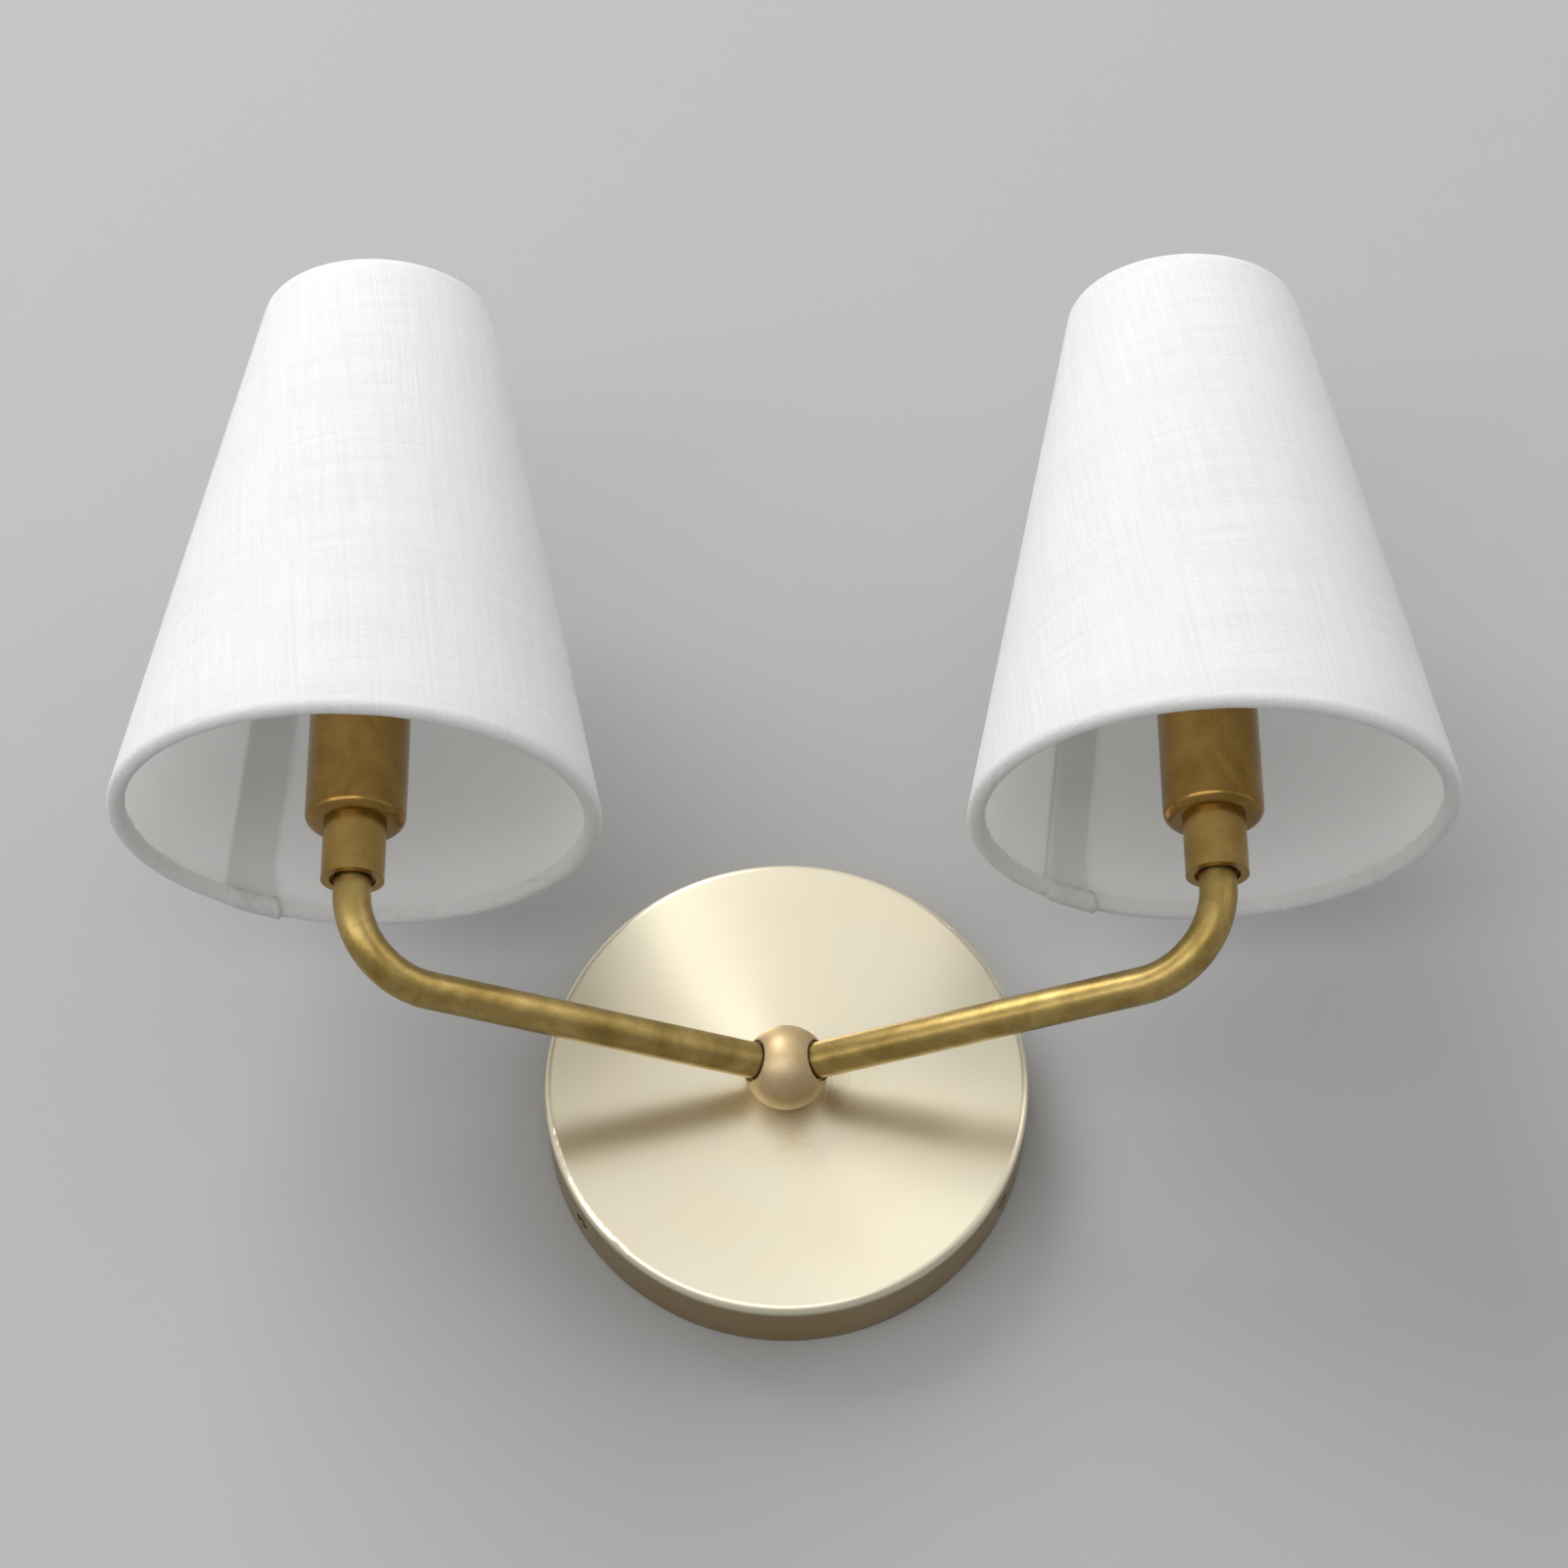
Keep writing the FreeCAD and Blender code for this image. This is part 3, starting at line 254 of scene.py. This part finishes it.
# Arms, necks and cups: raw brass tube and turned brass, brushed along the arm and left to
# darken, with small dark specks. The neck is threaded on the arm and the cup sits on the neck.
def effect(name, inputs, outputs):
    """An empty node group with named inputs and outputs."""
    group = bpy.data.node_groups.new(name, "ShaderNodeTree")
    for label, kind in inputs:
        group.interface.new_socket(label, in_out="INPUT", socket_type=kind)
    for label, kind in outputs:
        group.interface.new_socket(label, in_out="OUTPUT", socket_type=kind)
    return group, step(group, "NodeGroupInput").outputs, step(group, "NodeGroupOutput")


NUMBER, ARROW = "NodeSocketFloat", "NodeSocketVector"

# handling: cloudy patches, small dark specks and fine cloth scuffs, as on metal left bare
handling, given, out = effect(
    "handling",
    [("Place", ARROW), ("Patch Scale", NUMBER), ("Speck Scale", NUMBER), ("Speck Share", NUMBER)],
    [("Patches", NUMBER), ("Specks", NUMBER), ("Scuffs", NUMBER)],
)
patch = noise(handling, given["Place"], given["Patch Scale"], 4.0, Roughness=0.6, Distortion=0.6)
speck = noise(handling, given["Place"], given["Speck Scale"], 5.0, Roughness=0.75)
edge = calculated(handling, "SUBTRACT", 0.78, given["Speck Share"])
edge_top = calculated(handling, "ADD", edge, 0.14)
feed(handling, out, {
    "Patches": stretched(handling, patch, 0.3, 0.7),
    "Specks": stretched(handling, speck, edge, edge_top),
    "Scuffs": noise(handling, given["Place"], 2600.0, 2.0),
})


def handled(tree, place, patch_scale, speck_scale=1100.0, speck_share=0.22):
    """The handling effect in a material, as its outputs."""
    return step(tree, "ShaderNodeGroup", {
        "Place": place, "Patch Scale": patch_scale,
        "Speck Scale": speck_scale, "Speck Share": speck_share,
    }, node_tree=handling).outputs


def aged_brass(name, heading, low, high, rough, brushing=1.0):
    """Darkened brass, brushed level along a heading below the bend and upright above it."""
    finish, tree, shader = new_finish(name)
    place = object_place(tree)
    worn = handled(tree, place, 90.0)
    with_grain, cross_grain = 40, 1500
    level_place = step(tree, "ShaderNodeMapping", {
        "Vector": place, "Rotation": (0, 0, -heading), "Scale": (with_grain, cross_grain, cross_grain),
    }).outputs[0]
    upright_place = step(tree, "ShaderNodeMapping", {
        "Vector": place, "Scale": (cross_grain, cross_grain, with_grain),
    }).outputs[0]
    bend_start, bend_end = 0.006, 0.016
    height = step(tree, "ShaderNodeSeparateXYZ", {0: place}).outputs["Z"]
    grain = step(tree, "ShaderNodeMix", {
        0: stretched(tree, height, bend_start, bend_end),
        2: noise(tree, level_place, 1.0, 2.0),
        3: noise(tree, upright_place, 1.0, 2.0),
    }, data_type="FLOAT").outputs[0]
    bumped(tree, shader, grain, 0.09 * brushing, 0.0001)
    tint = mixed(tree, worn["Patches"], low, high)
    dark = calculated(tree, "MULTIPLY", worn["Specks"], 0.6)
    smooth, dull = rough - 0.04 * brushing, rough + 0.05 * brushing
    feed(tree, shader, {
        "Base Color": mixed(tree, dark, tint, (0.13, 0.085, 0.04)),
        "Roughness": stretched(tree, grain, 0.3, 0.7, smooth, dull),
        "Metallic": 1.0,
    })
    return finish


arm_forward = math.radians(30)
olive, pale_olive = (0.27, 0.183, 0.048), (0.49, 0.352, 0.13)
umber, pale_umber = (0.24, 0.138, 0.034), (0.35, 0.212, 0.06)
tan, pale_tan = (0.33, 0.205, 0.055), (0.43, 0.28, 0.09)
for side, heading in (("right", -arm_forward), ("left", arm_forward)):
    dress(aged_brass(f"{side}_arm_brass", heading, olive, pale_olive, 0.37), f"{side}_arm")
neck_brass = aged_brass("neck_brass", 0, tan, pale_tan, 0.31, brushing=0.5)
dress(neck_brass, "right_neck", "left_neck")
cup_brass = aged_brass("cup_brass", 0, umber, pale_umber, 0.25, brushing=0.2)
dress(cup_brass, "right_socket_cup", "left_socket_cup")


# Hub ball: turned from solid brass and rubbed to a satin finish, paler and pinker than the
# arms. The arms are screwed into its two counterbored holes.
hub_brass, tree, shader = new_finish("hub_brass")
worn = handled(tree, object_place(tree), 120.0)
feed(tree, shader, {
    "Base Color": mixed(tree, worn["Patches"], (0.50, 0.36, 0.185), (0.62, 0.48, 0.295)),
    "Roughness": stretched(tree, worn["Scuffs"], 0.3, 0.7, 0.46, 0.54),
    "Metallic": 1.0,
})
dress(hub_brass, "hub_ball")


# Plate, screws, nut and nipples: stamped and turned steel with a dull zinc coat, except the
# black canopy screws and the green ground screw.
def dull_metal(name, low, high, rough, metallic):
    """Steel under a coat or thin paint, or bare brass and solder, with cloudy patches."""
    finish, tree, shader = new_finish(name)
    worn = handled(tree, object_place(tree), 160.0)
    bumped(tree, shader, worn["Patches"], 0.1, 0.0001)
    feed(tree, shader, {
        "Base Color": mixed(tree, worn["Patches"], low, high),
        "Roughness": stretched(tree, worn["Scuffs"], 0.3, 0.7, rough - 0.07, rough + 0.07),
        "Metallic": metallic,
    })
    return finish


zinc = dull_metal("zinc_steel", (0.52, 0.53, 0.54), (0.68, 0.69, 0.70), 0.38, 1.0)
dress(zinc, "mounting_plate", "canopy_nipple", "lock_washer", "nipple_nut",
      "left_socket_nipple", "right_socket_nipple", "left_hickey", "right_hickey")
black_steel = dull_metal("black_screw_steel", (0.035, 0.035, 0.035), (0.07, 0.07, 0.07), 0.42, 0.6)
dress(black_steel, "canopy_screws")
green_steel = dull_metal("green_screw_steel", (0.05, 0.26, 0.10), (0.09, 0.36, 0.15), 0.38, 0.5)
dress(green_steel, "ground_screw")


# Lampholders: dark moulded phenolic body with a brass screw shell and a brass contact, each
# fixed on its hickey inside the cup.
def moulded(name, low, high, rough):
    """Plastic, dark glass or a coating, with faint flow marks."""
    finish, tree, shader = new_finish(name)
    place = object_place(tree)
    flow = noise(tree, place, 220.0, 4.0, Distortion=1.2)
    bumped(tree, shader, noise(tree, place, 3000.0, 1.0), 0.08, 0.0001)
    feed(tree, shader, {
        "Base Color": mixed(tree, flow, low, high),
        "Roughness": stretched(tree, flow, 0.3, 0.7, rough - 0.05, rough + 0.05),
    })
    return finish


phenolic = moulded("phenolic", (0.045, 0.03, 0.022), (0.085, 0.06, 0.045), 0.42)
shell_brass = dull_metal("shell_brass", (0.72, 0.55, 0.25), (0.82, 0.66, 0.34), 0.26, 1.0)
for side in ("left", "right"):
    dress(phenolic, f"{side}_socket_insulator")
    dress(shell_brass, f"{side}_socket_shell", f"{side}_socket_contact")


# Candle bulbs: clear blown glass on a nickel-plated screw cap, with a glass stem, four
# phosphor-coated filaments, a black glass insulator and a soldered tip.
cap_metal = dull_metal("cap_metal", (0.66, 0.65, 0.61), (0.80, 0.79, 0.75), 0.26, 1.0)
solder = dull_metal("solder", (0.55, 0.55, 0.56), (0.70, 0.70, 0.71), 0.34, 1.0)
black_glass = moulded("black_glass", (0.02, 0.02, 0.025), (0.04, 0.04, 0.05), 0.12)
phosphor = moulded("phosphor", (0.80, 0.60, 0.16), (0.95, 0.78, 0.30), 0.55)
clear_glass, tree, shader = new_finish("clear_glass")
ripple = noise(tree, object_place(tree), 70.0, 1.0)
bumped(tree, shader, ripple, 0.05, 0.0005)
feed(tree, shader, {
    "Base Color": (0.96, 0.98, 0.98, 1),
    "Roughness": stretched(tree, ripple, 0.3, 0.7, 0.01, 0.05),
    "Transmission Weight": 1.0, "IOR": 1.5,
})
for side in ("left", "right"):
    dress(cap_metal, f"{side}_bulb_cap")
    dress(solder, f"{side}_bulb_tip")
    dress(black_glass, f"{side}_bulb_insulator")
    dress(phosphor, f"{side}_bulb_filaments")
    dress(clear_glass, f"{side}_bulb_glass", f"{side}_bulb_stem")


# Leads and wire connectors: stranded wire in black and white insulation, and two moulded
# twist-on caps inside the canopy.
black_lead = moulded("black_lead", (0.02, 0.02, 0.02), (0.045, 0.045, 0.045), 0.40)
white_lead = moulded("white_lead", (0.74, 0.74, 0.71), (0.84, 0.84, 0.81), 0.42)
for side in ("left", "right"):
    dress(black_lead, f"{side}_lead_hot")
    dress(white_lead, f"{side}_lead_neutral")
orange_plastic = moulded("connector_plastic", (0.68, 0.24, 0.05), (0.80, 0.32, 0.08), 0.35)
dress(orange_plastic, "connector_hot", "connector_neutral")


# Shade frames: steel wire rings, and the bulb clip welded to the top ring, all powder coated
# white.
powder_coat = moulded("powder_coat", (0.72, 0.72, 0.71), (0.80, 0.80, 0.79), 0.48)
for side in ("left", "right"):
    dress(powder_coat, f"{side}_shade_bottom_ring", f"{side}_shade_clip")


# Shades: white linen glued to a styrene cone and rolled over the wire rings, top and bottom.
# One cut of cloth goes round each cone and laps over itself at the back on the left.

# weave: threads that cross over and under, thicker in places, on the cloth's flat pattern
weave, given, out = effect(
    "weave",
    [("Cloth Place", ARROW), ("Threads", NUMBER)],
    [("Threads Height", NUMBER), ("Slubs", NUMBER)],
)
sway = step(weave, "ShaderNodeTexNoise", {"Vector": given["Cloth Place"], "Scale": 90.0, "Detail": 2.0})
sway_wide = 0.0006
sway_out = vector_step(weave, "MULTIPLY", sway.outputs["Color"], (sway_wide, sway_wide, 0))
swayed = vector_step(weave, "ADD", given["Cloth Place"], sway_out)
counted = step(weave, "ShaderNodeVectorMath", {0: swayed, "Scale": given["Threads"]}, operation="SCALE")
split = step(weave, "ShaderNodeSeparateXYZ", {0: counted.outputs[0]}).outputs
ridges, slubs = [], []
for run, other in (("X", "Y"), ("Y", "X")):
    turn = calculated(weave, "MULTIPLY", split[run], math.pi)
    ridges.append(calculated(weave, "SINE", turn))
    slow = calculated(weave, "MULTIPLY", split[other], 0.02)
    lanes = step(weave, "ShaderNodeCombineXYZ", {0: split[run], 1: slow}).outputs[0]
    slub = step(weave, "ShaderNodeTexNoise", {
        "Vector": lanes, "Scale": 0.7, "Detail": 3.0, "Roughness": 0.7,
    }, noise_dimensions="2D")
    slubs.append(slub.outputs["Fac"])
crossing = calculated(weave, "MULTIPLY", *ridges)
plain = calculated(weave, "ABSOLUTE", crossing)
thickened = stretched(weave, calculated(weave, "ADD", *slubs), 0.72, 1.28)
feed(weave, out, {
    "Threads Height": calculated(weave, "ADD", plain, thickened),
    "Slubs": thickened,
})


def lets_through(tree, shader, share):
    """Lets a share of the light through the sheet, scattered."""
    through = step(tree, "ShaderNodeBsdfTranslucent", {"Color": (0.95, 0.95, 0.945, 1)}).outputs[0]
    both = step(tree, "ShaderNodeMixShader", {0: share, 1: shader.outputs[0], 2: through})
    feed(tree, tree.nodes["Material Output"], {"Surface": both.outputs[0]})


def linen_finish(name, low, high):
    """Plain-woven linen, its threads laid by the cloth's own flat pattern."""
    finish, tree, shader = new_finish(name)
    cloth_place = step(tree, "ShaderNodeUVMap", uv_map="cloth").outputs["UV"]
    threads_per_metre = 1500.0
    woven = step(tree, "ShaderNodeGroup", {"Cloth Place": cloth_place, "Threads": threads_per_metre},
                 node_tree=weave).outputs
    bumped(tree, shader, woven["Threads Height"], 0.6, 0.0002)
    feed(tree, shader, {
        "Base Color": mixed(tree, woven["Slubs"], low, high),
        "Roughness": stretched(tree, woven["Slubs"], 0.0, 1.0, 0.86, 0.96),
        "Specular IOR Level": 0.25,
    })
    lets_through(tree, shader, 0.45)
    return finish


linen = linen_finish("linen", (0.76, 0.76, 0.755), (0.88, 0.88, 0.875))

# the cone's outer size, and what its hem rolls round the wire: cloth, half the styrene, a gap
low_radius, top_radius = 0.0619, 0.0311
shade_foot, shade_head = 0.0404, 0.191
cloth, styrene, wire_radius, wire_gap = 0.0005, 0.0004, 0.0015, 0.0003
roll = cloth + styrene / 2 + wire_radius + wire_gap
shade_low, shade_top = shade_foot + roll, shade_head - roll
slope = math.atan2(low_radius - top_radius, shade_top - shade_low)
to_point = low_radius / math.sin(slope)
roll_steps, near_ring = 10, 0.003


def roll_round(middle, height, start, end, radius):
    """Points of the cloth's middle as it turns round a ring's wire."""
    points = []
    for count in range(roll_steps + 1):
        turn = math.radians(start + (end - start) * count / roll_steps)
        across, up = radius * math.cos(turn), radius * math.sin(turn)
        points.append(Vector((middle + across, 0, height + up)))
    return points


def cloth_line():
    """The cloth's line from its raw edge inside the top ring to the one inside the bottom ring."""
    turn = roll - cloth / 2
    top_middle, low_middle = top_radius - roll, low_radius - roll
    tuck, slant_steps = 0.0014, 14
    tilt = math.degrees(slope)
    line = [Vector((top_middle - turn, 0, shade_top - tuck))]
    line += roll_round(top_middle, shade_top, 180, tilt, turn)
    down = roll_round(low_middle, shade_low, tilt, -180, turn)
    slant_start, slant_end = line[-1], down[0]
    for count in range(1, slant_steps):
        line.append(slant_start.lerp(slant_end, count / slant_steps))
    line += down
    line.append(Vector((low_middle - turn, 0, shade_low + tuck)))
    return line


def lengths(line):
    """The distance along the line at each of its points."""
    along = [0.0]
    for one, two in zip(line, line[1:]):
        along.append(along[-1] + (two - one).length)
    return along


def spun_cloth(line, along, start, end, steps, seam, past=False):
    """Cloth spun round the shade's upright axis, with a map of its flat pattern in metres.

    The pattern's straight grain lies opposite the seam. Cloth past the seam goes on with the
    grain that the pattern has there.
    """
    shape = bmesh.new()
    run = shape.verts.layers.float.new("run")
    verts = []
    for point, distance in zip(line, along):
        vert = shape.verts.new(Matrix.Rotation(start, 4, "Z") @ point)
        vert[run] = distance
        verts.append(vert)
    edges = [shape.edges.new(pair) for pair in zip(verts, verts[1:])]
    whole = math.isclose(end - start, 2 * math.pi)
    bmesh.ops.spin(shape, geom=verts + edges, cent=(0, 0, 0), axis=(0, 0, 1), angle=end - start,
                   steps=steps, use_merge=whole, use_duplicate=False)
    bmesh.ops.recalc_face_normals(shape, faces=shape.faces)
    pattern = shape.loops.layers.uv.new("cloth")
    lowest = 0 if past else -math.pi
    for face in shape.faces:
        middle = face.calc_center_median()
        around = (math.atan2(middle.y, middle.x) - seam - math.pi - lowest) % (2 * math.pi) + lowest
        for loop in face.loops:
            here = math.atan2(loop.vert.co.y, loop.vert.co.x) - seam - math.pi
            here += 2 * math.pi * round((around - here) / (2 * math.pi))
            swing = here * math.sin(slope)
            reach = to_point - (along[-1] - loop.vert[run])
            loop[pattern].uv = (reach * math.sin(swing), reach * math.cos(swing))
    return shape


def pucker(shape, lift=0.00009, pull=0.0013):
    """Ripples the cloth that is gathered inside the bottom ring, in three sets of waves."""
    for vert in shape.verts:
        around = math.atan2(vert.co.y, vert.co.x)
        inner = low_radius - roll - math.hypot(vert.co.x, vert.co.y)
        if vert.co.z < shade_low + near_ring and inner > 0:
            ripple = math.sin(19 * around + 1)
            ripple += 0.8 * math.sin(31 * around)
            ripple += 0.6 * math.sin(47 * around + 2)
            vert.co.z += lift * ripple * inner / roll
            vert.co.xy *= 1 - pull * ripple * inner / roll


def lay_over(shape, along, seam):
    """Lifts the lap off the cloth below it, toward its free end, which bows out at the hem."""
    rise, hem_rise, bow = 0.00042, 0.00035, 0.30
    hem_start = along[-roll_steps - 3]
    run = shape.verts.layers.float["run"]
    for vert in shape.verts:
        out_from = math.hypot(vert.co.x, vert.co.y)
        across = (math.atan2(vert.co.y, vert.co.x) - seam + math.pi) % (2 * math.pi) - math.pi
        share = 0.5 - across / lap_half / 2
        hem_run = max(0.0, vert[run] - hem_start) / (along[-1] - hem_start)
        bowed = bow * math.sin(hem_run * math.pi)
        turn = seam + across * low_radius / out_from - share * bowed * lap_half * 2
        raised = rise * min(1.0, share * 4) + hem_rise * share**3 * hem_run
        nearer_low = vert.co.z < (shade_low + shade_top) / 2
        centre_z = shade_low if nearer_low else shade_top
        centre_r = (low_radius if nearer_low else top_radius) - roll
        if not shade_low < vert.co.z < shade_top:
            face_out = Vector((out_from - centre_r, 0, vert.co.z - centre_z)).normalized()
        elif abs(vert.co.z - centre_z) < near_ring and out_from < centre_r:
            face_out = Vector((-1, 0, 0))
        else:
            face_out = Vector((math.cos(slope), 0, math.sin(slope)))
        out_to, up_to = out_from + face_out.x * raised, vert.co.z + face_out.z * raised
        vert.co = Vector((out_to * math.cos(turn), out_to * math.sin(turn), up_to))


line = cloth_line()
along = lengths(line)

lap_wide, lap_cloth = 0.0132, 0.0004
lap_half = lap_wide / low_radius / 2
lap_angle = {"left": math.radians(124), "right": math.radians(125)}
round_steps, lap_steps = 240, 12
arm_reach, ball_out = 0.124, 0.0314
arm_out = ball_out + arm_reach * math.sin(arm_forward)
shade_axis = {"left": Vector((-arm_reach * math.cos(arm_forward), -arm_out, 0)),
              "right": Vector((arm_reach * math.cos(arm_forward), -arm_out, 0))}
for side, axis in shade_axis.items():
    seam = lap_angle[side]
    shape = spun_cloth(line, along, seam, seam + 2 * math.pi, round_steps, seam)
    pucker(shape)
    bmesh.ops.translate(shape, verts=shape.verts, vec=axis)
    skin = linked(f"{side}_shade_skin", mesh_of(f"{side}_shade_skin", shape))
    skin.data.materials.append(linen)

    # The lap: the cloth's own end, glued over its start, with a free cut end at the hem.
    shape = spun_cloth(line, along, seam - lap_half, seam + lap_half, lap_steps, seam, past=True)
    lay_over(shape, along, seam)
    bmesh.ops.translate(shape, verts=shape.verts, vec=axis)
    lap = linked(f"{side}_shade_lap", mesh_of(f"{side}_shade_lap", shape))
    lap.data.materials.append(linen)
    layer = lap.modifiers.new("thickness", "SOLIDIFY")
    layer.thickness, layer.offset = lap_cloth, 0
    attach(lap, f"{side}_shade")
    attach(skin, f"{side}_shade")
    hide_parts(f"{side}_shade_linen")


# Liners: white styrene sheet rolled into a cone inside the linen, its ends overlapped and welded
# under the lap. The left shade's overlap is outside the cone, the right one's inside and open.
liner_plastic = moulded("liner_plastic", (0.90, 0.90, 0.895), (0.93, 0.93, 0.925), 0.38)
lets_through(liner_plastic.node_tree, liner_plastic.node_tree.nodes["Principled BSDF"], 0.50)
liner_inside, liner_short, overlap_steps = cloth + styrene / 2, 0.0006, 8
overlap_wide, cloth_gap, liner_gap, open_gap = 0.0126, 0.00006, 0.00003, 0.0008
overlap_inside = {"left": (cloth + cloth_gap, cloth + cloth_gap),
                  "right": (liner_inside + liner_gap, liner_inside + open_gap)}


def sheet_cone(inside, start, turn, steps, ends=None):
    """Part of the liner's cone: a slant line spun round the axis, or with ends a straight strip.

    The ends tell how far inside the linen's face the two long edges of the strip lie.
    """
    shape = bmesh.new()
    foot = Vector((low_radius - inside, 0, shade_low + liner_short))
    head = Vector((top_radius - inside, 0, shade_top - liner_short))
    rows = 12
    verts = [shape.verts.new(foot.lerp(head, row / rows)) for row in range(rows + 1)]
    edges = [shape.edges.new(pair) for pair in zip(verts, verts[1:])]
    bmesh.ops.spin(shape, geom=verts + edges, cent=(0, 0, 0), axis=(0, 0, 1), angle=turn,
                   steps=steps, use_merge=not ends, use_duplicate=False)
    if ends:
        for vert in shape.verts:
            out_from = math.hypot(vert.co.x, vert.co.y)
            swung = math.atan2(vert.co.y, vert.co.x)
            turned = (swung - turn / 2) * foot.x / out_from
            out_from += inside - ends[0] - (ends[1] - ends[0]) * swung / turn
            vert.co.x, vert.co.y = out_from * math.cos(turned), out_from * math.sin(turned)
    bmesh.ops.rotate(shape, verts=shape.verts, matrix=Matrix.Rotation(start, 3, "Z"))
    bmesh.ops.recalc_face_normals(shape, faces=shape.faces)
    return shape


for side, axis in shade_axis.items():
    cone = sheet_cone(liner_inside, 0, 2 * math.pi, round_steps)
    overlap = sheet_cone(liner_inside, lap_angle[side], overlap_wide / low_radius, overlap_steps,
                         ends=overlap_inside[side])
    for name, shape in ((f"{side}_liner_sheet", cone), (f"{side}_liner_overlap", overlap)):
        bmesh.ops.translate(shape, verts=shape.verts, vec=axis)
        piece = linked(name, mesh_of(name, shape))
        piece.data.materials.append(liner_plastic)
        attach(piece, f"{side}_shade")
    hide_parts(f"{side}_shade_liner")
